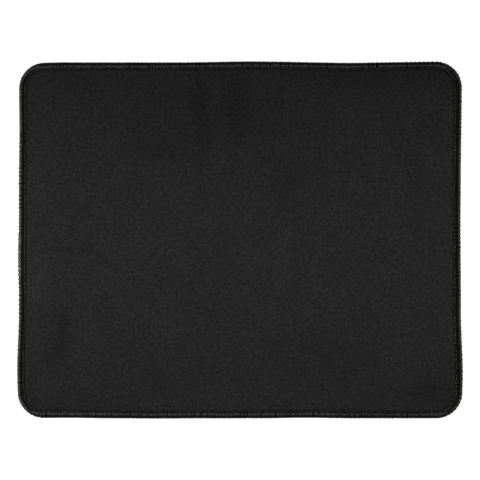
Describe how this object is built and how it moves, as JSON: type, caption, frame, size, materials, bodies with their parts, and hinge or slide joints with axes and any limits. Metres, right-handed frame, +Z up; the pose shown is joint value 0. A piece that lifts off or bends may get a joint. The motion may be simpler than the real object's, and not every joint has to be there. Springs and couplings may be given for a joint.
{
  "type": "mouse pad",
  "caption": "Flat rectangular cloth mouse pad with rounded corners: a knitted face laminated to a foamed rubber base, with an overlocked thread edge all the way round.",
  "frame": {"origin": "middle of the underside, on the surface that the pad lies on", "axes": "+X along the long side, to the right as one sits at the desk; +Y away from the user; +Z up"},
  "size_m": [0.262, 0.2102, 0.0033],
  "materials": {
    "face_cloth": "fine black polyester knit, matt with a faint sheen",
    "base_rubber": "matt black foamed rubber with a fine non-slip relief underneath",
    "bonding_film": "thin milky hot-melt film",
    "edge_thread": "black textured polyester yarn, silky",
    "needle_thread": "black spun polyester sewing thread"
  },
  "bodies": {
    "root": {"rubber_base": "base_rubber", "bonding_film": "bonding_film", "top_cloth": "face_cloth", "lower_looper_thread": "edge_thread", "upper_looper_thread": "edge_thread", "needle_thread": "needle_thread"}
  },
  "joints": []
}
